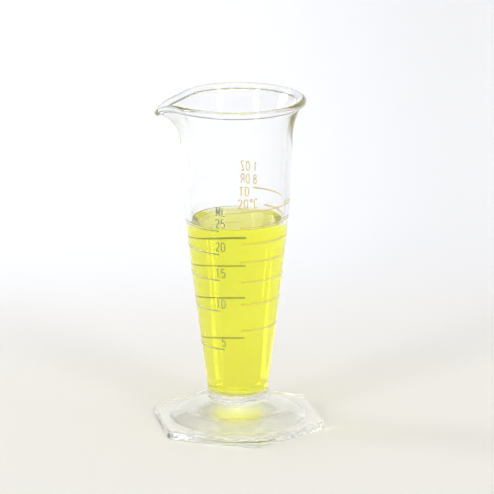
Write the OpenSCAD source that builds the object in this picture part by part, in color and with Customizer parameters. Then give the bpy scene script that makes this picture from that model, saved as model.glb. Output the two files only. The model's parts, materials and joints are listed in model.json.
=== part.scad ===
// Conical glass graduate, about one fluid ounce.
// A blown glass bowl with a flared, beaded lip and a drawn pouring spout is welded to a pressed
// hexagonal glass foot. Two scales of enamel lines are fired onto the outside, millilitres on one
// side and drams on the other, and the bowl holds a charge of coloured liquid.
// Millimetres, +Z up. The origin is the middle of the foot's underside, on the axis of the bowl.
// The front is towards -Y and the spout points along -X.

/* [Overall] */
// Height from the bench to the top of the rim
overall_height = 108; // [100:0.5:120]

/* [Foot] */
// Width of the hexagonal foot across its flats
foot_across_flats = 51.4; // [46:0.2:60]
// Rounding of the foot's six corners, seen from above
foot_corner_radius = 4; // [1:0.5:8]
// Turn of the hexagon to the right of a corner at the front
foot_turn = 11; // [0:1:60]
// Thickness of the foot's flat border
border_thickness = 2.7; // [2:0.1:4]
// Width of the flat border at the middle of each flat
border_width = 3.6; // [2:0.1:5]
// How strongly the dome of the foot swells and then hollows towards the neck
dome_wave = 0.6; // [0:0.05:0.9]
// Width of the ring that the foot stands on, at the middle of each flat
standing_width = 5; // [3:0.5:8]
// Depth of the hollow under the foot
hollow_depth = 1; // [0.4:0.1:1.6]
// Height of the weld between foot and bowl
neck_height = 7.4; // [6:0.1:9]
// Diameter of the weld between foot and bowl
neck_diameter = 14.8; // [12:0.2:16.5]

/* [Bowl] */
// Thickness of the glass between the weld and the inside floor
floor_thickness = 2.8; // [2:0.1:6]
// Rounding between the inside floor and the wall
floor_fillet = 2; // [1:0.25:5]
// Height of the rounded heel above the weld
heel_round = 2.2; // [1:0.1:3]
// How far the heel swells out of the line of the cone
heel_swell = 0.65; // [0:0.05:1.2]
// Height over which the swelling of the heel dies away
heel_swell_height = 3.9; // [2:0.1:6]
// Outside diameter of the cone where it starts at the heel
cone_bottom_diameter = 18.7; // [17.5:0.1:21]
// Height of the shoulder, where the cone gives way to the straighter throat
shoulder_height = 72.6; // [66:0.2:78]
// Outside diameter at the shoulder
shoulder_diameter = 33.7; // [31:0.1:34.5]
// How far the side of the cone bows outwards at mid height
cone_bow = 0.35; // [0:0.05:1]
// Outside diameter of the throat, just under the lip
throat_diameter = 35.9; // [35:0.1:37.5]
// Thickness of the wall at the inside floor
wall_at_floor = 0.6; // [0.5:0.05:1.6]
// Height at which the wall has grown to its full thickness
full_wall_height = 36; // [24:1:66]
// Thickness of the wall from that height up to the throat
wall_at_throat = 1.75; // [1.4:0.05:2.4]

/* [Lip and spout] */
// Height of the flared lip, from the throat to the top of the rim
lip_height = 14.2; // [11:0.2:17]
// Diameter of the rim, to the middle of its bead
rim_diameter = 42.3; // [39:0.1:46]
// Thickness of the wall just under the bead
wall_at_rim = 1.3; // [0.8:0.05:1.6]
// Thickness of the rounded bead on the rim
bead_diameter = 2.4; // [1.8:0.05:2.8]
// How far the tip of the spout stands out from the rim
spout_reach = 3.8; // [2.5:0.1:6]
// Half the width of the channel between the beads at the tip of the spout
spout_opening = 0.5; // [0.1:0.05:1.5]
// Radius of the spout's channel at the throat
channel_radius = 6; // [3:0.5:12]
// How far the tip of the spout dips below the rim beside it
spout_dip = 2.4; // [0:0.1:4]
// How far the whole rim sags towards the spout
rim_sag = 1.2; // [0:0.1:3]
// How far the rim is drawn in on each side of the spout
rim_pinch = 1.5; // [0:0.1:2]

/* [Graduations] */
// Step of the metric scale, in millilitres
metric_step = 5; // [5:5:10]
// Highest metric line, in millilitres
metric_top = 25; // [15:5:25]
// Lowest dram line
dram_bottom = 2; // [2:1:4]
// Highest dram line, eight of them to the fluid ounce
dram_top = 8; // [5:1:8]
// Height of an enamel line
line_width = 0.42; // [0.2:0.02:0.8]
// Thickness of the fired enamel
enamel_thickness = 0.1; // [0.05:0.01:0.2]
// Distance round the wall from the front to the first numeral's metric line
metric_gap = 4.1; // [2:0.1:8]
// Room that each further digit takes from a metric line
digit_room = 1.6; // [0:0.1:3]
// Angle from the middle of the back to the ends of the metric lines
metric_back_angle = 5.5; // [0:0.5:20]
// Angle from the front to the ends of the dram lines
dram_front_angle = 3.5; // [0:0.5:20]
// Angle from the middle of the back to the end of the highest dram line
dram_back_angle = 19; // [4:1:40]
// Further angle that the lower dram lines stop short of the middle of the back
dram_shortfall = 17; // [0:1:30]

/* [Liquid] */
// Volume of the liquid, in millilitres
liquid_volume = 24.9; // [5:0.1:27]
// How far the liquid climbs the wall
meniscus_rise = 0.6; // [0.2:0.1:1.5]
// Width of the climbing edge of the liquid
meniscus_width = 1.8; // [1:0.1:3]

/* [Hidden] */
$fn = 120;

// Volumes in cubic millimetres
millilitre = 1000;
fluid_dram = 3696.7;

// Steps that curves are divided into
cone_steps = 16;
round_steps = 8;
wave_steps = 16;
volume_slices = 90;
level_turns = 22;

// Shape of the lip: powers by which the flare and the spout grow with height and the spout dips
// towards its tip, and the angles from the spout over which the rim is drawn in and sags
flare_power = 2.2;
spout_power = 1.6;
dip_power = 2;
pinch_spread = 48;
sag_angle = 67;
spout_azimuth = 180;

// Mesh of the lip: steps round the rim, how much closer they lie at the spout, levels of the wall
// as shares of the lip's height, and angles round the bead
lip_steps = 136;
lip_crowding = 0.15;
lip_levels = [0.06, 0.2, 0.4, 0.6, 0.78, 0.9];
bead_angles = [-50:30:190];
normal_step = 0.1;

// The lip narrows a little as it goes down into the throat's wall, and the wall ends in a tongue
// that tapers as it goes up into the lip
root_depth = 0.6;
root_inset = 0.15;
tongue_height = 0.7;
tongue_inset = 0.5;

// Radii and heights that follow from the sizes above
bead_radius = bead_diameter / 2;
neck_radius = neck_diameter / 2;
cone_bottom_radius = cone_bottom_diameter / 2;
shoulder_radius = shoulder_diameter / 2;
throat_radius = throat_diameter / 2;
throat_middle = throat_radius - wall_at_throat / 2;
rim_radius = rim_diameter / 2;
dome_radius = foot_across_flats / 2 - border_width;
standing_radius = foot_across_flats / 2 - standing_width;
heel_height = neck_height + heel_round;
floor_height = neck_height + floor_thickness;
throat_height = overall_height - lip_height;
bead_height = lip_height - bead_radius;

// The middle of the bead turns at the tip of the spout on a radius wider than the bead
tip_radius = bead_radius + spout_opening;

// Marks and names of the two scales
metric_marks = [metric_step : metric_step : metric_top];
dram_marks = [dram_bottom : 1 : dram_top];
function metric_name(mark) = str("metric_line_", mark, "_ml");
function dram_name(mark) = str("dram_line_", mark, "_dr");

function mix(a, b, share) = a + (b - a) * share;
function total(list) = list * [for (item = list) 1];

// Line of the cone from heel to shoulder, bowed outwards, and of the throat above it
function cone_radius(z) =
    let (share = (z - heel_height) / (shoulder_height - heel_height))
    z < shoulder_height
        ? mix(cone_bottom_radius, shoulder_radius, share) + 4 * cone_bow * share * (1 - share)
        : mix(shoulder_radius, throat_radius, (z - shoulder_height) / (throat_height - shoulder_height));

// Outside of the bowl: the line of the cone with the heel's swelling
function outer_radius(z) =
    cone_radius(z) + heel_swell * pow(max(0, 1 - (z - heel_height) / heel_swell_height), 2);

function wall(z) =
    mix(wall_at_floor, wall_at_throat, min(1, (z - floor_height) / (full_wall_height - floor_height)));

// Inside of the bowl, with the round corner at its floor
function bore_radius(z) =
    let (below = max(0, floor_fillet - (z - floor_height)))
    cone_radius(z) - wall(z) - floor_fillet + sqrt(pow(floor_fillet, 2) - pow(below, 2));

// Volume of the bowl up to a height, and the height that a volume fills it to
function bore_volume(z) =
    let (slice = (z - floor_height) / volume_slices)
    total([for (i = [0.5 : volume_slices]) PI * pow(bore_radius(floor_height + i * slice), 2) * slice]);

function level_for(volume, low = floor_height, high = throat_height, turns = level_turns) =
    let (middle = (low + high) / 2)
    turns == 0 ? middle
        : bore_volume(middle) > volume ? level_for(volume, low, middle, turns - 1)
        : level_for(volume, middle, high, turns - 1);

// Heights at which the outside and the inside of the bowl are drawn
heel_heights = [for (i = [0 : round_steps - 1]) heel_height + heel_swell_height * i / round_steps];
cone_bottom_height = heel_height + heel_swell_height;
cone_heights = [
    for (i = [0 : cone_steps]) mix(cone_bottom_height, shoulder_height, i / cone_steps)
];
floor_heights = [
    for (i = [0 : round_steps]) floor_height + floor_fillet * (1 - cos(90 * i / round_steps))
];
floor_top_height = floor_height + floor_fillet;
bore_heights = [
    each floor_heights,
    for (i = [1 : cone_steps]) mix(floor_top_height, shoulder_height, i / cone_steps),
    throat_height
];

function outer_points() =
    [for (z = concat(heel_heights, cone_heights, [throat_height])) [outer_radius(z), z]];

function bore_points(top) =
    [for (z = concat([for (z = bore_heights) if (z < top) z], [top])) [bore_radius(z), z]];

function reversed(list) = [for (i = [len(list) - 1 : -1 : 0]) list[i]];

// Round underside of the heel, from the weld to the heel's widest place
function heel_points() = [
    for (i = [0 : round_steps - 1])
        let (angle = 90 * i / round_steps)
        [
            mix(neck_radius, outer_radius(heel_height), sin(angle)),
            heel_height - heel_round * cos(angle)
        ]
];

// The lip, a wall that flares to a bead, with the spout drawn out of it

// Angles of the rings round the rim, closest together at the spout
function ring_angle(i) =
    let (share = 2 * i / lip_steps - 1)
    spout_azimuth + 180 * mix(pow(share, 3), share, lip_crowding);

// Plan of a drawn rim: its circle, the small round at the tip of the spout, and the straight flanks
// that touch both
function drawn_radius(angle, tip) =
    let (
        turn = abs(angle - spout_azimuth),
        tip_middle = rim_radius + spout_reach - tip,
        flank = acos((rim_radius - tip) / tip_middle),
        tip_turn = atan2(tip * sin(flank), tip_middle + tip * cos(flank))
    )
    turn > flank ? rim_radius
        : turn > tip_turn ? rim_radius / cos(turn - flank)
        : tip_middle * cos(turn) + sqrt(pow(tip, 2) - pow(tip_middle * sin(turn), 2));

// Share of the spout's reach that the lip is drawn out by, from a wide channel at the throat to the tip
function drawn(angle, level) =
    (drawn_radius(angle, mix(channel_radius, tip_radius, level)) - rim_radius) / spout_reach;

function pinch(angle) = exp(-pow((angle - spout_azimuth) / pinch_spread, 2));

function sag(angle) = pow(cos(90 * min(1, abs(angle - spout_azimuth) / sag_angle)), 2);

// Distance of the middle of the lip's wall from the axis, at a share of the way up to the bead
function lip_radius(angle, level) =
    let (out = drawn(angle, level))
    mix(throat_middle, rim_radius, pow(level, flare_power))
    + (spout_reach * out - rim_pinch * (1 - out) * pinch(angle)) * pow(level, spout_power);

function lip_wall(level) = mix(wall_at_throat, wall_at_rim, level);

function lip_plan(angle, level) = lip_radius(angle, level) * [cos(angle), sin(angle)];

function lip_height_at(angle, level) =
    throat_height + bead_height * level
    - (rim_sag * sag(angle) + spout_dip * pow(drawn(angle, 1), dip_power)) * pow(level, 2);

// Outward direction, square to the lip's wall as seen from above
function lip_normal(angle, level) =
    let (along = lip_plan(angle + normal_step, level) - lip_plan(angle - normal_step, level))
    [along.y, -along.x] / norm(along);

function lip_point(angle, level, out, up = 0) =
    let (place = lip_plan(angle, level) + lip_normal(angle, level) * out)
    [place.x, place.y, lip_height_at(angle, level) + up];

function root_point(angle, out) =
    let (radius = throat_middle + out)
    [radius * cos(angle), radius * sin(angle), throat_height - root_depth];

// One cross-section of the lip: up the outside, over the bead and down the inside
function lip_section(angle) = [
    root_point(angle, wall_at_throat / 2 - root_inset),
    for (level = lip_levels) lip_point(angle, level, lip_wall(level) / 2),
    for (turn = bead_angles) lip_point(angle, 1, bead_radius * cos(turn), bead_radius * sin(turn)),
    for (level = reversed(lip_levels)) lip_point(angle, level, -lip_wall(level) / 2),
    root_point(angle, root_inset - wall_at_throat / 2)
];

module lip() {
    sections = [for (i = [0 : lip_steps - 1]) lip_section(ring_angle(i))];
    size = len(sections[0]);
    faces = [
        for (i = [0 : lip_steps - 1], k = [0 : size - 1])
            let (next = (i + 1) % lip_steps, above = (k + 1) % size)
            each [
                [i * size + k, i * size + above, next * size + above],
                [i * size + k, next * size + above, next * size + k]
            ]
    ];
    polyhedron([for (section = sections) each section], faces);
}

// Blown bowl: heel, cone, throat and lip in one piece of glass
module bowl() {
    color([0.85, 0.91, 0.93, 0.35]) {
        rotate_extrude() polygon([
            [0, neck_height],
            each heel_points(),
            each outer_points(),
            [throat_radius - tongue_inset, throat_height + tongue_height],
            [throat_radius - wall_at_throat + tongue_inset, throat_height + tongue_height],
            each reversed(bore_points(throat_height)),
            [0, floor_height]
        ]);
        lip();
    }
}

// Plan of the foot: three bars between the flats, with a round at each corner
module foot_plan() {
    side = foot_across_flats / sqrt(3);
    flat_length = side - 2 * foot_corner_radius * tan(30);
    corner_distance = side - foot_corner_radius / cos(30);
    for (i = [0 : 2]) rotate(60 * i + 30) square([foot_across_flats, flat_length], center = true);
    for (i = [0 : 5]) rotate(60 * i) translate([corner_distance, 0]) circle(foot_corner_radius);
}

// Side view of the foot: flat border, then a dome that swells, hollows and ends at the weld
module foot_side() {
    dome = [
        for (i = [0 : wave_steps])
            let (share = i / wave_steps)
            [
                mix(dome_radius, neck_radius, share),
                mix(border_thickness, neck_height, share + dome_wave * sin(360 * share) / (2 * PI))
            ]
    ];
    polygon([
        [0, 0],
        [foot_across_flats, 0],
        [foot_across_flats, border_thickness],
        each dome,
        [0, neck_height]
    ]);
}

// Pressed foot: the hexagon that a dome stands on, hollowed underneath
module foot() {
    hollow_radius = (pow(standing_radius, 2) + pow(hollow_depth, 2)) / (2 * hollow_depth);
    color([0.82, 0.89, 0.91, 0.45])
    difference() {
        intersection() {
            rotate(foot_turn - 90) linear_extrude(neck_height) foot_plan();
            rotate_extrude() foot_side();
        }
        translate([0, 0, hollow_depth - hollow_radius]) sphere(hollow_radius);
    }
}

// Liquid: fills the bowl to its level and climbs the wall a little at its edge
module liquid() {
    level = level_for(liquid_volume * millilitre);
    edge = bore_radius(level + meniscus_rise);
    climb = [
        for (i = [round_steps - 1 : -1 : 0])
            let (share = i / round_steps)
            [edge - meniscus_width * (1 - share), level + meniscus_rise * pow(share, 2)]
    ];
    color([0.93, 0.91, 0.2, 0.8])
    rotate_extrude() polygon([
        [0, floor_height],
        each bore_points(level + meniscus_rise),
        each climb,
        [0, level]
    ]);
}

// Enamel line at the height of a volume, between two angles counted from the front to the right
module enamel_line(volume, from, to) {
    level = level_for(volume);
    low = level - line_width / 2;
    high = level + line_width / 2;
    rotate_extrude(angle = to - from, start = from - 90) polygon([
        [outer_radius(low), low],
        [outer_radius(low) + enamel_thickness, low],
        [outer_radius(high) + enamel_thickness, high],
        [outer_radius(high), high]
    ]);
}

// Metric line: from beside its numeral at the front, round the left to the middle of the back
module metric_line(mark) {
    volume = mark * millilitre;
    gap = metric_gap + digit_room * (len(str(mark)) - 1);
    front_angle = gap / outer_radius(level_for(volume)) * 180 / PI;
    color([0.36, 0.44, 0.12]) enamel_line(volume, -180 - metric_back_angle, -front_angle);
}

// Dram line: from the front round the right towards the back, the highest one furthest
module dram_line(mark) {
    back_angle = dram_back_angle + (mark == dram_top ? 0 : dram_shortfall);
    color([0.89, 0.72, 0.16])
    enamel_line(mark * fluid_dram, dram_front_angle, 180 - back_angle);
}

bowl();
foot();
liquid();
for (mark = metric_marks) metric_line(mark);
for (mark = dram_marks) dram_line(mark);
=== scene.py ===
"""Conical glass graduate: its glass, liquid and fired print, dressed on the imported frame."""

import json
from math import cos, pi, radians, sin, sqrt

import bpy
import numpy as np
from mathutils import Matrix, Vector


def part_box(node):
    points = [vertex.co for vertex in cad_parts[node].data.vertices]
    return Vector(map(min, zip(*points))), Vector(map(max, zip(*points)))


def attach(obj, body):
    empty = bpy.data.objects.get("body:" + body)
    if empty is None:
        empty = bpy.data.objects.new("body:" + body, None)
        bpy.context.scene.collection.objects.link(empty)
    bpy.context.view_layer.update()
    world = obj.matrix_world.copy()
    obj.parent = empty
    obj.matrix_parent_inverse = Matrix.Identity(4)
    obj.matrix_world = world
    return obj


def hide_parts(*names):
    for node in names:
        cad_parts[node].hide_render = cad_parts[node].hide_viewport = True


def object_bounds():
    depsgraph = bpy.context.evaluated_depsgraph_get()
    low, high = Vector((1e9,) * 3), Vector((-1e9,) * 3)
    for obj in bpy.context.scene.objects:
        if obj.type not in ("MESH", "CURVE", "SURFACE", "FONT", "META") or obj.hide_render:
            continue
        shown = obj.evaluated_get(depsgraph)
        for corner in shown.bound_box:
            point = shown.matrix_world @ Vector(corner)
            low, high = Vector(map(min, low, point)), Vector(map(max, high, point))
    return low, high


bl_info = {
    "name": "Conical glass graduate",
    "version": (1, 0, 0),
    "blender": (4, 5, 0),
    "location": "3D View > Sidebar > Graduate",
    "description": "Makes the glass, liquid and print of a conical graduate, and a stage for it",
    "category": "Add Mesh",
}

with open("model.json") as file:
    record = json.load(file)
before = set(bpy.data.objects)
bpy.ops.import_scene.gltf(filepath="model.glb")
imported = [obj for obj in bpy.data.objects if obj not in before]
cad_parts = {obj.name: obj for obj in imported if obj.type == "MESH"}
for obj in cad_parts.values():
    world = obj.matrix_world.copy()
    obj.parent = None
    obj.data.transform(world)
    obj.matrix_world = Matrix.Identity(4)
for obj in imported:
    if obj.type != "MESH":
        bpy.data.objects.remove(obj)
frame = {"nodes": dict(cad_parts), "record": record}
CAD_LOW, CAD_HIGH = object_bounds()
MM = 0.001
BODY = "root"


# Colours and sizes


def linear(code, alpha=1.0):
    """An sRGB hex colour as linear red, green, blue and alpha."""
    srgb = np.array([int(code[i : i + 2], 16) for i in (0, 2, 4)]) / 255
    light = np.where(srgb <= 0.04045, srgb / 12.92, ((srgb + 0.055) / 1.055) ** 2.4)
    return (*light.tolist(), alpha)


def length(name, description, millimetres):
    """A property that holds a length, given in millimetres and kept in metres."""
    return bpy.props.FloatProperty(
        name=name, description=description, default=millimetres * MM, unit="LENGTH", precision=5
    )


def turn(name, description, degrees):
    """A property that holds an angle, given in degrees and kept in radians."""
    return bpy.props.FloatProperty(
        name=name, description=description, default=radians(degrees), unit="ROTATION"
    )


def factor(name, description, value):
    """A property that holds a plain number."""
    return bpy.props.FloatProperty(name=name, description=description, default=value, precision=3)


def colour(name, description, code):
    """A property that holds a colour, given as sRGB hex and kept as linear light."""
    return bpy.props.FloatVectorProperty(
        name=name, description=description, default=linear(code), size=4, subtype="COLOR", min=0, max=1
    )


class GlassSizes(bpy.types.PropertyGroup):
    """Sizes of the bowl and the foot, which the weld makes one piece of glass."""

    overall_height: length("Height", "From the bench to the top of the rim", CAD_HIGH.z / MM)
    foot_across_flats: length("Foot across flats", "Width of the hexagonal foot", 51.4)
    foot_corner_radius: length("Foot corner radius", "Rounding of the corners seen from above", 4)
    foot_turn: turn("Foot turn", "Turn of a corner of the hexagon to the right of the front", 11)
    border_thickness: length("Border thickness", "Thickness of the foot's flat border", 2.7)
    border_width: length("Border width", "Width of the flat border at the middle of a flat", 3.6)
    border_top_round: length("Upper edge round", "Rounding of the foot's upper edge", 0.75)
    border_bottom_round: length("Lower edge round", "Rounding of the foot's lower edge", 0.4)
    press_wave: length("Press wave", "Unevenness that pressing leaves in the foot's border", 0.05)
    dome_wave: factor("Dome wave", "How strongly the dome swells and then hollows", 0.6)
    standing_width: length("Standing width", "Width of the ring that the foot stands on", 5)
    hollow_depth: length("Hollow depth", "Depth of the hollow under the foot", 1)
    neck_height: length("Neck height", "Height of the weld between foot and bowl", 7.4)
    neck_diameter: length("Neck diameter", "Diameter of the weld between foot and bowl", 14.8)
    floor_thickness: length("Floor thickness", "Glass between the weld and the inside floor", 2.8)
    floor_fillet: length("Floor fillet", "Rounding between the inside floor and the wall", 2)
    heel_round: length("Heel round", "Height of the rounded heel above the weld", 2.2)
    heel_swell: length("Heel swell", "How far the heel swells out of the line of the cone", 0.65)
    heel_swell_height: length("Heel swell height", "Height over which the swelling dies away", 3.9)
    cone_bottom_diameter: length("Cone bottom diameter", "Outside diameter at the heel", 18.7)
    shoulder_height: length("Shoulder height", "Where the cone gives way to the throat", 72.6)
    shoulder_diameter: length("Shoulder diameter", "Outside diameter at the shoulder", 33.7)
    cone_bow: length("Cone bow", "How far the side of the cone bows out at mid height", 0.35)
    throat_diameter: length("Throat diameter", "Outside diameter just under the lip", 35.9)
    wall_at_floor: length("Wall at floor", "Thickness of the wall at the inside floor", 0.6)
    full_wall_height: length("Full wall height", "Where the wall has its full thickness", 36)
    wall_at_throat: length("Wall at throat", "Thickness of the wall from there to the throat", 1.75)
    lip_height: length("Lip height", "From the throat to the top of the rim", 14.2)
    rim_diameter: length("Rim diameter", "Diameter to the middle of the rim's bead", 42.3)
    wall_at_rim: length("Wall at rim", "Thickness of the wall just under the bead", 1.3)
    bead_diameter: length("Bead diameter", "Thickness of the rounded bead on the rim", 2.4)
    spout_reach: length("Spout reach", "How far the spout's tip stands out from the rim", 3.8)
    spout_opening: length("Spout opening", "Half the width between the beads at the tip", 0.5)
    channel_radius: length("Channel radius", "Radius of the spout's channel at the throat", 6)
    spout_dip: length("Spout dip", "How far the tip dips below the rim beside it", 2.4)
    rim_sag: length("Rim sag", "How far the rim sags towards the spout", 1.2)
    rim_pinch: length("Rim pinch", "How far the rim is drawn in beside the spout", 1.5)
    fire_polish: length("Fire polish", "Spread of the rounding that melting gives every corner", 0.3)
    underside_haze: factor("Underside haze", "Roughness that the mould leaves under the foot", 0.4)


class LiquidSizes(bpy.types.PropertyGroup):
    """Sizes and colour of the liquid."""

    meniscus_rise: length("Meniscus rise", "How far the liquid climbs the wall", 0.6)
    meniscus_width: length("Meniscus width", "Distance over which the climb dies away", 0.7)
    wetting: length("Wetting", "How far the liquid's skin lies inside the glass, so no air shows", 0.03)
    dye: colour("Dye", "Colour that the dyed water lets through", "FDFD00")
    dye_density: factor("Dye density", "Absorption of the dye per metre", 230)


class PrintSizes(bpy.types.PropertyGroup):
    """Sizes and colours of the fired print."""

    line_width: length("Line width", "Height of a graduation line", 0.42)
    stroke_width: length("Stroke width", "Width of a stroke of a numeral or letter", 0.32)
    enamel_thickness: length("Enamel thickness", "Height of the enamel over the glass", 0.08)
    enamel_bite: length("Enamel bite", "How far the enamel melts into the glass", 0.03)
    character_height: length("Character height", "Height of a numeral or letter", 2.9)
    character_width: length("Character width", "Width of a numeral or letter", 1.1)
    character_gap: length("Character gap", "Space between characters", 0.75)
    numeral_offset: length("Numeral offset", "From the front to the right edge of the numerals", 3.9)
    unit_offset: length("Unit offset", "From the left edge of the top numeral to its unit", 0.4)
    legend_offset: length("Legend offset", "From the front to the amber legend there", 0.5)
    back_offset: length("Back offset", "From the back to the amber legend there", 1.4)
    legend_lift: length("Legend lift", "From the top dram line up to the amber legends", 1.3)
    legend_pitch: length("Legend pitch", "From one line of a legend to the next", 4.1)
    numeral_lift: length("Numeral lift", "From a graduation line up to its numeral", 1.1)
    green: colour("Green", "Enamel of the metric scale", "768828")
    amber: colour("Amber", "Enamel of the dram scale", "F1D535")


class StudioSettings(bpy.types.PropertyGroup):
    """Camera, floor and light of the stage."""

    lens: bpy.props.FloatProperty(
        name="Lens", description="Focal length on a 36 mm sensor, in millimetres", default=270.2
    )
    camera_distance: length("Camera distance", "From the camera to its aim", 1190.5)
    camera_pitch: turn("Camera pitch", "How far the camera looks down", 15.476)
    camera_roll: turn("Camera roll", "How far the camera leans", -0.282)
    aim_side: length("Aim side", "Sideways place of the camera's aim", 3.178)
    aim_height: length("Aim height", "Height of the camera's aim", 58.56)
    floor_reach: length("Floor reach", "How far the paper reaches to the front and the sides", 3000)
    sweep_distance: length("Sweep distance", "From the object to the upright edge of the paper", 400)
    sweep_height: length("Sweep height", "Height to which the paper curves up behind the object", 180)
    floor_near: colour("Floor near", "Paper under the object", "EBE8E2")
    floor_far: colour("Floor far", "Paper behind the object", "F6F7FA")
    # Darker paper on the right behind the object: painted shade on the backdrop
    floor_right: colour("Floor right", "Paper behind the object on its right", "EDEDEF")
    backdrop_wash: factor("Backdrop wash", "Light of its own on the far paper", 0.08)
    room_strength: factor("Room strength", "Brightness of the room", 1.2)
    room: colour("Room", "Dim room round the set", "707276")
    canopy: colour("Canopy", "Bright cloth over the set", "FFFFFF")


# Meshes


def add_piece(name, points, faces, material):
    """Puts points and faces, given as index arrays with 3 or 4 columns, into a smooth mesh object."""
    mesh = bpy.data.meshes.new(name)
    sides = np.concatenate([np.full(len(f), f.shape[1]) for f in faces])
    corners = np.concatenate([f.ravel() for f in faces])
    mesh.vertices.add(len(points))
    mesh.vertices.foreach_set("co", np.ascontiguousarray(points, np.float32).ravel())
    mesh.loops.add(len(corners))
    mesh.loops.foreach_set("vertex_index", corners.astype(np.int32))
    mesh.polygons.add(len(sides))
    mesh.polygons.foreach_set("loop_start", (np.cumsum(sides) - sides).astype(np.int32))
    mesh.polygons.foreach_set("use_smooth", np.ones(len(sides), bool))
    mesh.update(calc_edges=True)
    if mesh.validate():
        raise RuntimeError(f"{name} has faulty faces")
    mesh.materials.append(material)
    piece = bpy.data.objects.new(name, mesh)
    bpy.context.scene.collection.objects.link(piece)
    return piece


def closed_grid(rows, bottom, top):
    """Faces over rows of points that close on themselves, with a fan to a pole at each end.

    rows has shape (row, column, 3). Columns run anticlockwise and rows run from the bottom pole
    outwards and up, so the faces point outwards.
    """
    count, size = rows.shape[:2]
    points = np.concatenate([rows.reshape(-1, 3), [bottom, top]])
    index = np.arange(count * size).reshape(count, size)
    after = np.roll(index, -1, axis=1)
    quads = np.stack([index[:-1], after[:-1], after[1:], index[1:]], axis=-1).reshape(-1, 4)
    under = np.stack([np.full(size, count * size), after[0], index[0]], axis=-1)
    over = np.stack([np.full(size, count * size + 1), index[-1], after[-1]], axis=-1)
    return points, [quads, under, over]


def mix(a, b, share):
    """The value that lies a share of the way from a to b."""
    return a + (b - a) * share


def smooth(low, high, value):
    """0 below low, 1 above high, and a cubic without corners between them."""
    share = np.clip((value - low) / (high - low), 0, 1)
    return share * share * (3 - 2 * share)


def soften(line, spread, step):
    """A line at even steps of its length, averaged under a bell curve, which rounds its corners."""
    along = np.concatenate([[0], np.cumsum(np.linalg.norm(np.diff(line, axis=0), axis=1))])
    even = np.linspace(0, along[-1], int(along[-1] / step))
    line = np.stack([np.interp(even, along, column) for column in line.T], axis=1)
    reach = int(4 * spread / step)
    bell = np.exp(-0.5 * (np.arange(-reach, reach + 1) * step / spread) ** 2)
    padded = np.pad(line, ((reach, reach), (0, 0)), mode="reflect", reflect_type="odd")
    return np.stack([np.convolve(column, bell / bell.sum(), "valid") for column in padded.T], axis=1)


# Form of the glass

# Columns of points round the glass, and how much narrower they get at the spout and the corners
COLUMNS = 300
CROWDING = 0.25

# Rows of points under the foot. The outermost one of the hollow stays clear, the others are frosted
UNDERSIDE = "underside"
HOLLOW_ROWS = 16
UNDERSIDE_ROWS = HOLLOW_ROWS - 1

# Points on each stretch of the section, and the even step at which it is then rounded
ROUND_POINTS = 80
WALL_POINTS = 300
LIP_POINTS = 60
SECTION_STEP = 0.05 * MM

# Rows for each millimetre of the section: on the wall, and more at the heel, the lip and the bead
WALL_ROWS = 0.45
HEEL_ROWS = 2.2
LIP_ROWS = 1.1
BEAD_ROWS = 4.5

# Heights between which the heel's and the lip's rows thin out, the lip's counted from the throat,
# and the bead's from the top of the lip's spine
HEEL_END = (14 * MM, 20 * MM)
LIP_START = (-6 * MM, 2 * MM)
BEAD_START = (-2 * MM, -1 * MM)

# Spread of the rounding that blowing gives the wall, and the heights between which it comes in, and
# goes out again above the throat
BLOWN_SPREAD = 2.5 * MM
BLOWN_START = (20 * MM, 35 * MM)
BLOWN_END = (4 * MM, 8 * MM)

# Share of the lip's height at which its wall meets the bead, and the bead's roll in degrees
LIP_TOP = 0.9
BEAD_ROLL = (-85, 200)

# How far the section's start lies under the border, the ring that its end leaves to the pole, and
# the width of the sharp edge between the liquid's side and its surface
BORDER_OVERLAP = 1 * MM
POLE_RADIUS = 0.3 * MM
CREASE = 0.02 * MM

# Rows of points over the liquid's surface
SURFACE_ROWS = 41

# The lip: powers by which the flare, the spout and its dip grow, the spout's place, and the angles
# from it over which the rim is drawn in and sags
SPOUT_ANGLE = pi
FLARE_POWER = 2.2
SPOUT_POWER = 1.6
DIP_POWER = 2
PINCH_SPREAD = radians(48)
SAG_ANGLE = radians(67)
NORMAL_STEP = radians(0.1)

# Half the angle that one flat of the hexagon takes up
HALF_FLAT = pi / 6


def heel_height(s):
    """Top of the rounded heel, where the cone starts."""
    return s.neck_height + s.heel_round


def floor_height(s):
    """Inside floor of the bowl."""
    return s.neck_height + s.floor_thickness


def throat_height(s):
    """Top of the throat, where the lip starts."""
    return s.overall_height - s.lip_height


def cone_radius(s, z):
    """Line of the cone from heel to shoulder, bowed by a parabola, then straight to the throat."""
    share = (z - heel_height(s)) / (s.shoulder_height - heel_height(s))
    rise = (z - s.shoulder_height) / (throat_height(s) - s.shoulder_height)
    cone = mix(s.cone_bottom_diameter, s.shoulder_diameter, share) / 2
    bowed = cone + 4 * s.cone_bow * share * (1 - share)
    return np.where(z < s.shoulder_height, bowed, mix(s.shoulder_diameter, s.throat_diameter, rise) / 2)


def outer_radius(s, z):
    """Outside of the bowl: the line of the cone with a swelling that dies away as a parabola."""
    fade = np.maximum(0, 1 - (z - heel_height(s)) / s.heel_swell_height)
    return cone_radius(s, z) + s.heel_swell * fade**2


def bore_radius(s, z):
    """Inside of the bowl: the cone less its wall, with a quarter round at the floor."""
    share = np.minimum(1, (z - floor_height(s)) / (s.full_wall_height - floor_height(s)))
    wall = mix(s.wall_at_floor, s.wall_at_throat, share)
    below = np.maximum(0, s.floor_fillet - (z - floor_height(s)))
    corner = np.sqrt(np.maximum(0, s.floor_fillet**2 - below**2)) - s.floor_fillet
    return cone_radius(s, z) - wall + corner


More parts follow.
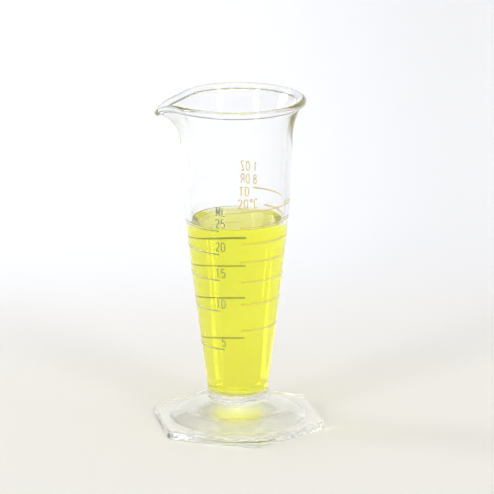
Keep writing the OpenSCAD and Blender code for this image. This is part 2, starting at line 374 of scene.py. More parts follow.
def glass_section(s):
    """Section of the glass from the foot's border, up the outside, over the bead and down the inside.

    Its columns are the height of the lip's spine above the throat, the distance out from the spine,
    and the height above the spine. Below the throat the spine stays at the throat. The dome is a
    straight rise plus one turn of a sine, and the bead is part of a circle.
    """
    middle = (s.throat_diameter - s.wall_at_throat) / 2
    throat = throat_height(s)
    bead = s.bead_diameter / 2
    spine_top = s.lip_height - bead
    dome_radius = s.foot_across_flats / 2 - s.border_width
    neck = s.neck_diameter / 2
    share = np.linspace(0, 1, ROUND_POINTS)
    quarter = share * pi / 2

    def turned(radius, z):
        return np.stack([np.zeros_like(z), radius - middle, z - throat], axis=1)

    border = turned(np.array([dome_radius + BORDER_OVERLAP]), np.array([s.border_thickness]))
    wave = share + s.dome_wave * np.sin(2 * pi * share) / (2 * pi)
    dome = turned(mix(dome_radius, neck, share), mix(s.border_thickness, s.neck_height, wave))
    heel = turned(
        mix(neck, outer_radius(s, heel_height(s)), np.sin(quarter)),
        heel_height(s) - s.heel_round * np.cos(quarter),
    )
    side = np.linspace(heel_height(s), throat, WALL_POINTS)
    outside = turned(outer_radius(s, side), side)
    level = np.linspace(0, LIP_TOP, LIP_POINTS)
    half_wall = mix(s.wall_at_throat, s.wall_at_rim, level) / 2
    flat = np.zeros_like(level)
    lip_outside = np.stack([level * spine_top, half_wall, flat], axis=1)
    lip_inside = np.stack([level * spine_top, -half_wall, flat], axis=1)[::-1]
    roll = np.radians(np.linspace(*BEAD_ROLL, LIP_POINTS))
    rim = np.stack([np.full_like(roll, spine_top), bead * np.cos(roll), bead * np.sin(roll)], axis=1)
    bore = np.linspace(throat, floor_height(s) + s.floor_fillet, WALL_POINTS)
    inside = turned(bore_radius(s, bore), bore)
    corner = floor_height(s) + s.floor_fillet * (1 - np.cos(quarter[::-1]))
    fillet = turned(bore_radius(s, corner), corner)
    floor = turned(np.array([POLE_RADIUS]), np.array([floor_height(s)]))

    line = np.concatenate(
        [border, dome, heel, outside, lip_outside, rim, lip_inside, inside, fillet, floor]
    )
    crisp = soften(line, s.fire_polish, SECTION_STEP)
    blown = soften(line, BLOWN_SPREAD, SECTION_STEP)
    z = throat + crisp[:, 0] + crisp[:, 2]
    wall = smooth(*BLOWN_START, z) * (1 - smooth(*BLOWN_END, z - throat))
    section = mix(crisp, blown, wall[:, None])

    on_heel = 1 - smooth(*HEEL_END, z)
    on_lip = smooth(*LIP_START, z - throat)
    on_bead = smooth(*BEAD_START, section[:, 0] - spine_top)
    density = WALL_ROWS + HEEL_ROWS * on_heel + LIP_ROWS * on_lip + BEAD_ROWS * on_bead
    passed = np.cumsum(density) * SECTION_STEP / MM
    rows = np.linspace(passed[0], passed[-1], int(passed[-1]))
    return np.stack([np.interp(rows, passed, column) for column in section.T], axis=1)


def glass_lining(s, depth, top):
    """Radius and height of a skin at a depth inside the glass, from the floor up to a height."""
    section = glass_section(s)[::-1]
    radius = (s.throat_diameter - s.wall_at_throat) / 2 + section[:, 1]
    z = throat_height(s) + section[:, 0] + section[:, 2]
    inside = slice(0, int(np.argmax(z > top)))
    slope = np.gradient(np.stack([radius, z]), axis=1)
    slope /= np.linalg.norm(slope, axis=0)
    radius, z = radius + depth * slope[1], z - depth * slope[0]
    edge = np.interp([top - CREASE, top], z[inside], radius[inside])
    below = z[inside] < top - 2 * CREASE
    return (
        np.concatenate([radius[inside][below], edge]),
        np.concatenate([z[inside][below], [top - CREASE, top]]),
    )


def column_angles():
    """Even angles round the axis, and how far to shift them to crowd the spout and the corners.

    A share s of a half turn, or of a corner's half sector, becomes c*s + (1-c)*s^3, which is c times
    as wide at its middle.
    """
    share = 2 * np.arange(COLUMNS) / COLUMNS - 1
    even = SPOUT_ANGLE + pi * share
    return even, pi * (1 - CROWDING) * (share**3 - share)


def corner_turn(s, angle):
    """Angle from the nearest corner of the hexagon."""
    return (angle - s.foot_turn + pi / 2 + HALF_FLAT) % (2 * HALF_FLAT) - HALF_FLAT


def corner_shift(s, angle):
    """Shift that crowds columns at the hexagon's corners."""
    share = corner_turn(s, angle) / HALF_FLAT
    return HALF_FLAT * (1 - CROWDING) * (share**3 - share)


def hexagon_radius(s, angle):
    """Distance of the foot's edge from the axis: six flats, and an arc round each corner."""
    apothem = s.foot_across_flats / 2
    corner = s.foot_corner_radius
    off = np.abs(corner_turn(s, angle))
    centre = (apothem - corner) / cos(HALF_FLAT)
    reach = np.arctan2(corner * sin(HALF_FLAT), centre + corner * cos(HALF_FLAT))
    rounded = centre * np.cos(off) + np.sqrt(np.maximum(0, corner**2 - (centre * np.sin(off)) ** 2))
    return np.where(off < reach, rounded, apothem / np.cos(HALF_FLAT - off))


def pressed(angle, waves, share, phases):
    """Two sines round the foot, the second a share as high as the first, between -1 and 1."""
    first = np.sin(waves[0] * angle + phases[0])
    second = np.sin(waves[1] * angle + phases[1])
    return (first + share * second) / (1 + share)


def drawn_share(s, off, level):
    """Share of the spout's reach that the lip is drawn out by, at an angle off the spout.

    The plan is the rim's circle, a small round at the spout's tip and the straight flanks that touch
    both. The round narrows from the channel's radius at the throat to the tip's at the rim.
    """
    rim = s.rim_diameter / 2
    tip = mix(s.channel_radius, s.bead_diameter / 2 + s.spout_opening, level)
    middle = rim + s.spout_reach - tip
    flank = np.arccos((rim - tip) / middle)
    tip_turn = np.arctan2(tip * np.sin(flank), middle + tip * np.cos(flank))
    straight = rim / np.cos(np.minimum(off, flank) - flank)
    rounded = middle * np.cos(off) + np.sqrt(np.maximum(0, tip**2 - (middle * np.sin(off)) ** 2))
    return (np.where(off < tip_turn, rounded, straight) - rim) / s.spout_reach


def lip_spine(s, angle, level):
    """Radius and height of the middle of the lip's wall.

    The flare grows as a power of the level. The spout is drawn out of it and the rim is pinched in
    beside the spout by a bell curve. The height sags as a squared cosine and dips by a power of the
    share that is drawn out.
    """
    rim = s.rim_diameter / 2
    off = np.abs(angle - SPOUT_ANGLE)
    out = drawn_share(s, off, level)
    pinch = (1 - out) * np.exp(-((off / PINCH_SPREAD) ** 2))
    dip = drawn_share(s, off, 1) ** DIP_POWER
    sag = np.cos(pi / 2 * np.minimum(1, off / SAG_ANGLE)) ** 2
    middle = (s.throat_diameter - s.wall_at_throat) / 2
    radius = mix(middle, rim, level**FLARE_POWER)
    radius = radius + (s.spout_reach * out - s.rim_pinch * pinch) * level**SPOUT_POWER
    spine_top = s.lip_height - s.bead_diameter / 2
    height = throat_height(s) + spine_top * level - (s.rim_sag * sag + s.spout_dip * dip) * level**2
    return radius, height


def glass_rows(s):
    """Rows of points over the whole glass: the foot's underside and edge, then the section above."""
    even, spout_shift = column_angles()
    shift = corner_shift(s, even)

    def ring(radius, z, crowd):
        angle = even + shift * crowd
        return np.stack([radius * np.cos(angle), radius * np.sin(angle), z + 0 * angle], axis=-1)

    standing = s.foot_across_flats / 2 - s.standing_width
    ball = (standing**2 + s.hollow_depth**2) / (2 * s.hollow_depth)
    angle = even + shift
    edge = hexagon_radius(s, angle) + s.press_wave * pressed(angle, (2, 5), 0.6, (1, 0))
    lift = s.press_wave * pressed(angle, (3, 4), 0.7, (0, 2))
    low, high = s.border_bottom_round, s.border_top_round
    inner = s.foot_across_flats / 2 - s.border_width + BORDER_OVERLAP

    # The hollow, the standing ring, the lower edge, the side, the upper edge and the flat border
    rows = []
    for share in np.linspace(0.04, 1, HOLLOW_ROWS):
        radius = standing * share
        rows.append(ring(radius, s.hollow_depth - ball + sqrt(ball**2 - radius**2), share**4))
    for share in np.linspace(0.2, 1, 5):
        rows.append(ring(mix(standing, edge - low, share), 0, 1))
    for tilt in np.linspace(pi / 12, pi / 2, 6):
        rows.append(ring(edge - low * (1 - sin(tilt)), low * (1 - cos(tilt)), 1))
    for share in (0.33, 0.67):
        rows.append(ring(edge, mix(low, s.border_thickness + lift - high, share), 1))
    for tilt in np.linspace(0, pi / 2, 8):
        z = s.border_thickness + lift - high * (1 - sin(tilt))
        rows.append(ring(edge - high * (1 - cos(tilt)), z, 1))
    for share in np.linspace(0.17, 0.83, 5):
        rows.append(ring(mix(edge - high, inner, share), s.border_thickness + lift * (1 - share), 1))
    foot = np.stack(rows)

    spine, out, up = (column[:, None] for column in glass_section(s).T)
    level = np.clip(spine / (s.lip_height - s.bead_diameter / 2), 0, 1)
    dome = 1 - smooth(s.border_thickness, s.neck_height, throat_height(s) + spine + up)
    at = even + spout_shift * smooth(0, 1, level) + shift * dome
    radius, height = lip_spine(s, at, level)
    ahead = lip_spine(s, at + NORMAL_STEP, level)[0]
    behind = lip_spine(s, at - NORMAL_STEP, level)[0]
    x = ahead * np.cos(at + NORMAL_STEP) - behind * np.cos(at - NORMAL_STEP)
    y = ahead * np.sin(at + NORMAL_STEP) - behind * np.sin(at - NORMAL_STEP)
    along = np.hypot(x, y)
    section = np.stack(
        [
            radius * np.cos(at) + out * y / along,
            radius * np.sin(at) - out * x / along,
            height + up,
        ],
        axis=-1,
    )
    return np.concatenate([foot, section])


# Materials

# Places of the colour sockets of a Mix node: its two inputs and its result
MIX_A = 6
MIX_B = 7
MIX_RESULT = 2

# Size and depth of the ripple in the glass, of the tremble in the liquid and of the enamel's specks
RIPPLE_SIZE = 9 * MM
RIPPLE_DEPTH = 0.03 * MM
TREMBLE_SIZE = 14 * MM
TREMBLE_DEPTH = 0.02 * MM
SPECK_SIZE = 0.35 * MM
SPECK_DEPTH = 0.02 * MM
SPECK_PALENESS = 0.18


def node(tree, kind, links=None, **settings):
    """Adds a shader node, sets its properties or input sockets, and links sockets to its inputs."""
    made = tree.nodes.new(kind)
    for name, value in settings.items():
        if hasattr(made, name):
            setattr(made, name, value)
        else:
            made.inputs[name.replace("_", " ")].default_value = value
    for name, socket in (links or {}).items():
        tree.links.new(socket, made.inputs[name])
    return made


def new_material(name):
    """An empty node material and its output."""
    material = bpy.data.materials.new(name)
    material.use_nodes = True
    material.node_tree.nodes.clear()
    return material, material.node_tree, node(material.node_tree, "ShaderNodeOutputMaterial")


def glass_material(s):
    """Soda-lime glass, blown and fire polished: clear, with a faint ripple and a trace of green in depth.

    The mould leaves the foot's underside frosted, so it glows instead of mirroring.
    """
    material, tree, output = new_material("soda_lime_glass_fire_polished")
    frost = node(tree, "ShaderNodeAttribute", attribute_name=UNDERSIDE)
    haze = node(tree, "ShaderNodeMapRange", {"Value": frost.outputs["Fac"]}, To_Max=s.underside_haze)
    place = node(tree, "ShaderNodeTexCoord")
    ripple = node(
        tree,
        "ShaderNodeTexNoise",
        {"Vector": place.outputs["Object"]},
        Scale=1 / RIPPLE_SIZE,
        Detail=1.0,
    )
    bump = node(
        tree,
        "ShaderNodeBump",
        {"Height": ripple.outputs["Fac"]},
        Strength=1.0,
        Distance=RIPPLE_DEPTH,
    )
    shader = node(
        tree,
        "ShaderNodeBsdfPrincipled",
        {"Normal": bump.outputs["Normal"], "Roughness": haze.outputs["Result"]},
        Base_Color=linear("FFFFFF"),
        IOR=1.52,
        Transmission_Weight=1.0,
    )
    depth = node(tree, "ShaderNodeVolumeAbsorption", Color=linear("E9F4EF"), Density=2.0)
    tree.links.new(shader.outputs["BSDF"], output.inputs["Surface"])
    tree.links.new(depth.outputs["Volume"], output.inputs["Volume"])
    return material


def liquid_material(s):
    """Dyed water: clear and still, with a yellow that deepens with the depth of water looked through."""
    material, tree, output = new_material("dyed_water")
    place = node(tree, "ShaderNodeTexCoord")
    tremble = node(
        tree,
        "ShaderNodeTexNoise",
        {"Vector": place.outputs["Object"]},
        Scale=1 / TREMBLE_SIZE,
        Detail=0.0,
    )
    bump = node(
        tree,
        "ShaderNodeBump",
        {"Height": tremble.outputs["Fac"]},
        Strength=1.0,
        Distance=TREMBLE_DEPTH,
    )
    shader = node(
        tree,
        "ShaderNodeBsdfPrincipled",
        {"Normal": bump.outputs["Normal"]},
        Base_Color=linear("FFFFFF"),
        Roughness=0.0,
        IOR=1.333,
        Transmission_Weight=1.0,
    )
    depth = node(tree, "ShaderNodeVolumeAbsorption", Color=s.dye, Density=s.dye_density)
    tree.links.new(shader.outputs["BSDF"], output.inputs["Surface"])
    tree.links.new(depth.outputs["Volume"], output.inputs["Volume"])
    return material


def enamel_material(name, ink):
    """Fired ceramic enamel: a soft gloss, a colour that some light comes through, paler in fine specks."""
    material, tree, output = new_material(name)
    place = node(tree, "ShaderNodeTexCoord")
    specks = node(
        tree,
        "ShaderNodeTexNoise",
        {"Vector": place.outputs["Object"]},
        Scale=1 / SPECK_SIZE,
        Detail=3.0,
        Roughness=0.6,
    )
    pale = [mix(value, 1, SPECK_PALENESS) for value in ink[:3]]
    tone = node(tree, "ShaderNodeMix", {"Factor": specks.outputs["Fac"]}, data_type="RGBA")
    tone.inputs[MIX_A].default_value = ink
    tone.inputs[MIX_B].default_value = (*pale, 1)
    gloss = node(
        tree,
        "ShaderNodeMapRange",
        {"Value": specks.outputs["Fac"]},
        To_Min=0.32,
        To_Max=0.55,
    )
    bump = node(
        tree,
        "ShaderNodeBump",
        {"Height": specks.outputs["Fac"]},
        Strength=0.4,
        Distance=SPECK_DEPTH,
    )
    shader = node(
        tree,
        "ShaderNodeBsdfPrincipled",
        {
            "Base Color": tone.outputs[MIX_RESULT],
            "Roughness": gloss.outputs["Result"],
            "Normal": bump.outputs["Normal"],
        },
        IOR=1.5,
        Transmission_Weight=0.5,
    )
    tree.links.new(shader.outputs["BSDF"], output.inputs["Surface"])
    return material


def floor_material(s):
    """Matt seamless paper: warm white under the object, cooler and paler behind it.

    Behind the object it darkens to the right with painted shade, and its upright part glows with painted
    light of its own. It is clear from behind, so that it doesn't hide the object from a camera there.
    """
    material, tree, output = new_material("seamless_paper_matt")
    place = node(tree, "ShaderNodeTexCoord")
    axes = node(tree, "ShaderNodeSeparateXYZ", {"Vector": place.outputs["Object"]})
    tone = None
    for axis, start, end, low, high in (
        # Along X the far paper darkens to the right with painted shade
        ("X", -10, 90, s.floor_far, s.floor_right),
        ("Y", 30, 230, s.floor_near, None),
    ):
        ramp = node(
            tree,
            "ShaderNodeMapRange",
            {"Value": axes.outputs[axis]},
            interpolation_type="SMOOTHSTEP",
            From_Min=start * MM,
            From_Max=end * MM,
        )
        blend = node(tree, "ShaderNodeMix", {"Factor": ramp.outputs["Result"]}, data_type="RGBA")
        blend.inputs[MIX_A].default_value = low
        if tone:
            tree.links.new(tone, blend.inputs[MIX_B])
        else:
            blend.inputs[MIX_B].default_value = high
        tone = blend.outputs[MIX_RESULT]
    # The upright part of the paper glows with painted light of its own
    wash = node(
        tree,
        "ShaderNodeMapRange",
        {"Value": axes.outputs["Y"]},
        From_Min=s.sweep_distance - s.sweep_height,
        From_Max=s.sweep_distance,
        To_Max=s.backdrop_wash,
    )
    shader = node(
        tree,
        "ShaderNodeBsdfPrincipled",
        {
            "Base Color": tone,
            "Emission Color": tone,
            "Emission Strength": wash.outputs["Result"],
        },
        Roughness=0.8,
        IOR=1.3,
    )
    side = node(tree, "ShaderNodeNewGeometry")
    clear = node(tree, "ShaderNodeBsdfTransparent")
    paper = node(
        tree,
        "ShaderNodeMixShader",
        {0: side.outputs["Backfacing"], 1: shader.outputs["BSDF"], 2: clear.outputs["BSDF"]},
    )
    tree.links.new(paper.outputs["Shader"], output.inputs["Surface"])
    return material


# Print

# Marks of the metric scale, in millilitres
METRIC_MARKS = (5, 10, 15, 20, 25)

# Points on an arc of a character, and the characters that take less than a whole cell's width
ARC_POINTS = 24
NARROW = {"°": 0.55, " ": 0.1}

# A stroke: steps along it and the rounding of its bends, both as parts of its width, the points and
# the fullness of its domed section, and the share of its width that its underside has
STROKE_STEPS = 5
STROKE_BENDS = 3
DOME_POINTS = 7
DOME_POWER = 0.6
FLAT_SHARE = 0.94

# How much a stroke's width wavers, and over what length
WAVER = 0.05
WAVER_LENGTH = 1.7 * MM


def arc(x, y, width, height, start, end):
    """Part of an ellipse round a centre, between two angles in degrees."""
    angle = np.radians(np.linspace(start, end, ARC_POINTS))
    return np.stack([x + width * np.cos(angle), y + height * np.sin(angle)], axis=1)


def path(*parts):
    """Points and arcs joined to one path."""
    return np.concatenate([np.atleast_2d(np.array(part, float)) for part in parts])


def glyphs():
    """Strokes of each character in a cell one wide and one high, as paths of lines and arcs."""
    oval = path(arc(0.5, 0.72, 0.5, 0.28, 0, 180), arc(0.5, 0.28, 0.5, 0.28, 180, 360), (1, 0.72))
    return {
        "0": [oval],
        "1": [path((0.2, 0.8), (0.55, 1), (0.55, 0))],
        "2": [path(arc(0.5, 0.73, 0.48, 0.27, 170, -30), (0.02, 0), (1, 0))],
        "5": [path((0.92, 1), (0.12, 1), (0.05, 0.54), arc(0.48, 0.32, 0.5, 0.32, 130, -150))],
        "8": [
            path(arc(0.5, 0.77, 0.42, 0.23, -90, 270)),
            path(arc(0.5, 0.27, 0.5, 0.27, 90, 450)),
        ],
        "M": [path((0, 0), (0, 1), (0.5, 0.2), (1, 1), (1, 0))],
        "L": [path((0, 1), (0, 0), (0.9, 0))],
        "T": [path((0, 1), (1, 1)), path((0.5, 1), (0.5, 0))],
        "D": [
            path(
                (0, 0),
                (0, 1),
                arc(0.4, 0.62, 0.6, 0.38, 90, 0),
                arc(0.4, 0.38, 0.6, 0.38, 0, -90),
                (0, 0),
            )
        ],
        "O": [oval],
        "Z": [path((0, 1), (1, 1), (0, 0), (1, 0))],
        "R": [
            path((0, 0), (0, 1), arc(0.55, 0.75, 0.45, 0.25, 90, -90), (0, 0.5)),
            path((0.5, 0.5), (1, 0)),
        ],
        "C": [path(arc(0.52, 0.7, 0.5, 0.3, 35, 180), arc(0.52, 0.3, 0.5, 0.3, 180, 325))],
        "°": [path(arc(0.35, 0.86, 0.3, 0.13, 0, 360))],
        " ": [],
    }


def ribbon(line, width, s):
    """A raised stroke along a path on the unrolled wall: across, up and out of it.

    The section is a low dome over a flat underside that lies in the glass. The stroke's half width
    shrinks at its ends as a half circle does, which rounds them.
    """
    step = width / STROKE_STEPS
    line = soften(line, width / STROKE_BENDS, step)
    along = np.linspace(0, 1, len(line)) * (len(line) - 1) * step
    half = width / 2
    to_end = np.minimum(along, along[-1] - along)
    swell = 1 + WAVER * np.sin(along / WAVER_LENGTH)
    spread = half * swell * np.sqrt(1 - np.clip(1 - to_end / half, 0, 1) ** 2)
    slope = np.gradient(line, axis=0)
    slope /= np.linalg.norm(slope, axis=1)[:, None]
    side = np.stack([slope[:, 1], -slope[:, 0]], axis=1)
    turns = np.linspace(0, pi, DOME_POINTS)
    across = np.concatenate([np.cos(turns), [-FLAT_SHARE, FLAT_SHARE]])
    dome = s.enamel_thickness * np.sin(turns) ** DOME_POWER
    height = np.concatenate([dome, [-s.enamel_bite] * 2])
    flat = line[:, None, :] + side[:, None, :] * (spread[:, None] * across)[:, :, None]
    fade = np.sqrt(spread / half)[:, None]
    out = np.where(height > 0, height * fade, height)
    rows = np.concatenate([flat, out[:, :, None]], axis=2)[1:-1]
    middle = [(*line[i], -s.enamel_bite) for i in (0, -1)]
    return closed_grid(rows, *middle)


def wrapped(glass, points, radius, centre):
    """Unrolled points on the bowl: across becomes an angle from centre, out adds to the radius."""
    angle = centre + points[:, 0] / radius
    distance = outer_radius(glass, points[:, 1]) + points[:, 2]
    return np.stack([distance * np.sin(angle), -distance * np.cos(angle), points[:, 1]], axis=1)


def joined(parts):
    """Several meshes of points and face arrays as one."""
    points, faces, start = [], [], 0
    for part, groups in parts:
        points.append(part)
        faces.extend(group + start for group in groups)
        start += len(part)
    return np.concatenate(points), faces


def lettering(s, text, left, bottom):
    """Strokes of a line of text on the unrolled wall, from its left bottom corner."""
    cells = glyphs()
    parts = []
    for character in text:
        for stroke in cells[character]:
            line = stroke * [s.character_width, s.character_height] + [left, bottom]
            parts.append(ribbon(line, s.stroke_width, s))
        left += s.character_width * NARROW.get(character, 1) + s.character_gap
    return parts


def text_width(s, text):
    """Width of a line of text."""
    cells = sum(NARROW.get(character, 1) for character in text)
    return cells * s.character_width + (len(text) - 1) * s.character_gap


def line_ends(name):
    """Start and end angle of a line of the frame, counted from the front to the right, and its height.

    The line runs the long way round from the widest gap between its points.
    """
    mesh = frame["nodes"][name].data
    points = np.empty(len(mesh.vertices) * 3, np.float32)
    mesh.vertices.foreach_get("co", points)
    x, y, z = points.reshape(-1, 3).T
    angle = np.sort(np.unique(np.round(np.arctan2(x, -y), 4)))
    gap = np.diff(np.append(angle, angle[0] + 2 * pi))
    widest = int(np.argmax(gap))
    end = angle[widest]
    start = angle[(widest + 1) % len(angle)]
    start -= 2 * pi if start > end else 0
    return start, end, float(z.min() + z.max()) / 2


def enamel_piece(name, parts, radius, centre, material):
    """Wraps strokes round the bowl as one piece of enamel that rides with the glass."""
    glass = bpy.context.scene.graduate_glass
    points, faces = joined(parts)
    piece = add_piece(name, wrapped(glass, points, radius, centre), faces, material)
    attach(piece, BODY)
    return piece


# Stage

# Place, width and height in metres, and brightness of each light
SOFTBOXES = {
    "overhead_softbox": ((0, -0.1, 1.2), (0.45, 0.45), 2.9),
    "side_softbox": ((-1.3, 0.35, 0.6), (0.4, 0.5), 7.0),
    "left_softbox": ((-0.95, -1.05, 0.7), (0.22, 1.2), 5.2),
    "right_softbox": ((0.85, -1.15, 0.7), (0.28, 1.2), 4.3),
}
LIGHT_AIM = Vector((0, 0, 0.05))

# Times that light may be turned or mirrored, enough for all the walls of glass in a row
BOUNCES = 128

# Room under the foot, and points of the paper along its bend, along its flat part and across it
FLOOR_GAP = 0.02 * MM
BEND_POINTS = 24
FLAT_POINTS = 12
ACROSS_POINTS = 13


def add_floor(s):
    """Seamless paper that lies flat and curves up behind the object in a quarter round."""
    bend = np.linspace(0, pi / 2, BEND_POINTS)
    flat = np.linspace(-s.floor_reach, s.sweep_distance - s.sweep_height, FLAT_POINTS)[:-1]
    y = np.concatenate([flat, s.sweep_distance - s.sweep_height * (1 - np.sin(bend))])
    z = np.concatenate([0 * flat, s.sweep_height * (1 - np.cos(bend))]) - FLOOR_GAP
    x = np.linspace(-s.floor_reach, s.floor_reach, ACROSS_POINTS)
    points = np.stack(np.broadcast_arrays(x, y[:, None], z[:, None]), axis=-1).reshape(-1, 3)
    index = np.arange(len(points)).reshape(len(y), len(x))
    quads = np.stack([index[:-1, :-1], index[:-1, 1:], index[1:, 1:], index[1:, :-1]], axis=-1)
    add_piece("floor", points, [quads.reshape(-1, 4)], floor_material(s))


def add_camera(s):
    """A long lens that looks down on the object from the front."""
    ahead = Vector((0, cos(s.camera_pitch), -sin(s.camera_pitch)))
    over = Vector((0, sin(s.camera_pitch), cos(s.camera_pitch)))
    side = Vector((1, 0, 0))
    right = side * cos(s.camera_roll) + over * sin(s.camera_roll)
    above = over * cos(s.camera_roll) - side * sin(s.camera_roll)
    data = bpy.data.cameras.new("camera")
    data.sensor_width = 36
    data.lens = s.lens
    data.clip_end = 10
    camera = bpy.data.objects.new("camera", data)
    turned = Matrix((right, above, -ahead)).transposed()
    place = Vector((s.aim_side, 0, s.aim_height)) - ahead * s.camera_distance
    camera.matrix_world = Matrix.Translation(place) @ turned.to_4x4()
    bpy.context.scene.collection.objects.link(camera)
    bpy.context.scene.camera = camera


def softbox(name, place, size, brightness):
    """An area light of an even brightness that faces the object."""
    data = bpy.data.lights.new(name, "AREA")
    data.shape = "ELLIPSE"
    data.size, data.size_y = size
    data.energy = pi * size[0] * size[1] * brightness
    light = bpy.data.objects.new(name, data)
    aim = LIGHT_AIM - Vector(place)
    light.matrix_world = Matrix.Translation(place) @ aim.to_track_quat("-Z", "Y").to_matrix().to_4x4()
    bpy.context.scene.collection.objects.link(light)


def add_room(s):
    """The room round the set: pale near the floor, dim above it, and a bright canopy overhead."""
    world = bpy.data.worlds.new("studio_room")
    world.use_nodes = True
    tree = world.node_tree
    tree.nodes.clear()
    output = node(tree, "ShaderNodeOutputWorld")
    place = node(tree, "ShaderNodeTexCoord")
    axes = node(tree, "ShaderNodeSeparateXYZ", {"Vector": place.outputs["Generated"]})
    light = node(tree, "ShaderNodeBackground", Strength=s.room_strength)
    tone = None
    for start, end, low, high in (
        (0, 0.12, s.floor_far, s.room),
        (0.5, 0.95, None, s.canopy),
    ):
        ramp = node(
            tree,
            "ShaderNodeMapRange",
            {"Value": axes.outputs["Z"]},
            interpolation_type="SMOOTHSTEP",
            From_Min=start,
            From_Max=end,
        )
        blend = node(tree, "ShaderNodeMix", {"Factor": ramp.outputs["Result"]}, data_type="RGBA")
        blend.inputs[MIX_B].default_value = high
        if tone:
            tree.links.new(tone, blend.inputs[MIX_A])
        else:
            blend.inputs[MIX_A].default_value = low
        tone = blend.outputs[MIX_RESULT]
    tree.links.new(tone, light.inputs["Color"])
    tree.links.new(light.outputs["Background"], output.inputs["Surface"])
    bpy.context.scene.world = world


# Operators


class GRADUATE_OT_glass(bpy.types.Operator):
    """Make the bowl and the foot as the one piece of glass that the weld makes of them"""

    bl_idname = "graduate.glass"
    bl_label = "Glass"

    def execute(self, context):
        s = context.scene.graduate_glass
        rows = glass_rows(s)
        points, faces = closed_grid(rows, (0, 0, s.hollow_depth), (0, 0, floor_height(s)))
        piece = add_piece("glass", points, faces, glass_material(s))
        frost = piece.data.attributes.new(UNDERSIDE, "FLOAT", "POINT")
        under = np.zeros(len(points), np.float32)
        under[: UNDERSIDE_ROWS * COLUMNS] = 1
        under[-2] = 1
        frost.data.foreach_set("value", under)
        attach(piece, BODY)
        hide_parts("bowl", "foot")
        return {"FINISHED"}


class GRADUATE_OT_liquid(bpy.types.Operator):
    """Fill the bowl with dyed water that climbs the wall a little at its edge"""

    bl_idname = "graduate.liquid"
    bl_label = "Liquid"

    def execute(self, context):
        glass = context.scene.graduate_glass
        s = context.scene.graduate_liquid
        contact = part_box("liquid")[1].z
        level = contact - s.meniscus_rise
        wall_radius, wall_z = glass_lining(glass, s.wetting, contact)
        share = np.linspace(0, 1, SURFACE_ROWS + 1)[:-1] ** 2
        top_radius = (wall_radius[-1] - CREASE) * (1 - share)
        climb = np.exp((top_radius - wall_radius[-1]) / s.meniscus_width)
        radius = np.concatenate([wall_radius, top_radius])
        z = np.concatenate([wall_z, level + s.meniscus_rise * climb])
        floor = wall_z[0]
        angle = column_angles()[0][::2]
        rows = np.stack(
            [np.outer(radius, np.cos(angle)), np.outer(radius, np.sin(angle)), np.outer(z, 1 + 0 * angle)],
            axis=-1,
        )
        points, faces = closed_grid(rows, (0, 0, floor), (0, 0, level))
        piece = add_piece("dyed_water", points, faces, liquid_material(s))
        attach(piece, BODY)
        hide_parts("liquid")
        return {"FINISHED"}


class GRADUATE_OT_lines(bpy.types.Operator):
    """Print the graduation lines where the frame has them, with soft edges and round ends"""

    bl_idname = "graduate.lines"
    bl_label = "Graduation lines"

    def execute(self, context):
        glass = context.scene.graduate_glass
        s = context.scene.graduate_print
        inks = {
            "green_enamel": enamel_material("ceramic_enamel_green_fired", s.green),
            "amber_enamel": enamel_material("ceramic_enamel_amber_fired", s.amber),
        }
        slots = {part["node"]: part["material_slot"] for part in frame["record"]["subparts"]}
        for name, slot in slots.items():
            if slot not in inks:
                continue
            start, end, z = line_ends(name)
            radius = float(outer_radius(glass, z))
            line = np.array([[start * radius, z], [end * radius, z]])
            piece = enamel_piece(
                f"{name}_print", [ribbon(line, s.line_width, s)], radius, 0, inks[slot]
            )
            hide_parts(name)
        return {"FINISHED"}


class GRADUATE_OT_numerals(bpy.types.Operator):
    """Print the numerals of the metric scale and the plain legends of both scales"""

    bl_idname = "graduate.numerals"
    bl_label = "Numerals and legends"

    def execute(self, context):
        glass = context.scene.graduate_glass
        s = context.scene.graduate_print
        green = bpy.data.materials["ceramic_enamel_green_fired"]
        amber = bpy.data.materials["ceramic_enamel_amber_fired"]
        row = s.character_height + s.numeral_lift
        for mark in METRIC_MARKS:
            numeral = str(mark)
            base = line_ends(f"metric_line_{mark}_ml")[2] + s.numeral_lift
            radius = float(outer_radius(glass, base))
            left = -s.numeral_offset - text_width(s, numeral)
            parts = lettering(s, numeral, left, base)
            if mark == METRIC_MARKS[-1]:
                parts += lettering(s, "ML", left + s.unit_offset, base + row)
            enamel_piece(f"metric_numeral_{mark}", parts, radius, 0, green)

        base = line_ends("dram_line_8_dr")[2] + s.legend_lift
        radius = float(outer_radius(glass, base))
        front = lettering(s, "20°C", s.legend_offset, base)
        front += lettering(s, "TD", s.legend_offset + s.stroke_width, base + s.legend_pitch)
        enamel_piece("temperature_legend", front, radius, 0, amber)
        left = -text_width(s, "8 DR") - s.back_offset
        behind = lettering(s, "8 DR", left, base)
        behind += lettering(s, "1 OZ", left, base + s.legend_pitch)
        enamel_piece("dram_legend", behind, radius, pi, amber)
        return {"FINISHED"}


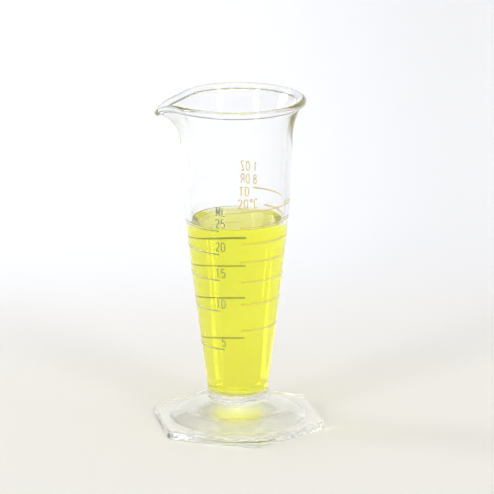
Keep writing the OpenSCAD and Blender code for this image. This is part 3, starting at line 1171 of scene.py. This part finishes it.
class GRADUATE_OT_stage(bpy.types.Operator):
    """Set the floor, the camera and the light"""

    bl_idname = "graduate.stage"
    bl_label = "Stage"

    def execute(self, context):
        scene = context.scene
        s = scene.graduate_studio
        add_floor(s)
        add_camera(s)
        for name, (place, size, brightness) in SOFTBOXES.items():
            softbox(name, place, size, brightness)
        add_room(s)
        scene.view_settings.view_transform = "Standard"
        scene.cycles.blur_glossy = 0.0
        scene.cycles.max_bounces = BOUNCES
        scene.cycles.transmission_bounces = BOUNCES
        scene.cycles.glossy_bounces = BOUNCES
        return {"FINISHED"}


class GRADUATE_PT_panel(bpy.types.Panel):
    """Buttons for each piece and the stage"""

    bl_label = "Conical graduate"
    bl_space_type = "VIEW_3D"
    bl_region_type = "UI"
    bl_category = "Graduate"

    def draw(self, context):
        for operator in OPERATORS:
            self.layout.operator(operator.bl_idname)


OPERATORS = (
    GRADUATE_OT_glass,
    GRADUATE_OT_liquid,
    GRADUATE_OT_lines,
    GRADUATE_OT_numerals,
    GRADUATE_OT_stage,
)
GROUPS = {
    "graduate_glass": GlassSizes,
    "graduate_liquid": LiquidSizes,
    "graduate_print": PrintSizes,
    "graduate_studio": StudioSettings,
}


def register():
    """Adds the classes, and hangs the settings on the scene."""
    for group in GROUPS.values():
        bpy.utils.register_class(group)
    for name, group in GROUPS.items():
        setattr(bpy.types.Scene, name, bpy.props.PointerProperty(type=group))
    for operator in OPERATORS:
        bpy.utils.register_class(operator)
    bpy.utils.register_class(GRADUATE_PT_panel)


def unregister():
    """Takes away what register adds."""
    bpy.utils.unregister_class(GRADUATE_PT_panel)
    for operator in reversed(OPERATORS):
        bpy.utils.unregister_class(operator)
    for name in GROUPS:
        delattr(bpy.types.Scene, name)
    for group in GROUPS.values():
        bpy.utils.unregister_class(group)


def main():
    """Makes every piece and the stage."""
    register()
    bpy.ops.graduate.glass()
    bpy.ops.graduate.liquid()
    bpy.ops.graduate.lines()
    bpy.ops.graduate.numerals()
    bpy.ops.graduate.stage()


if __name__ == "__main__":
    main()
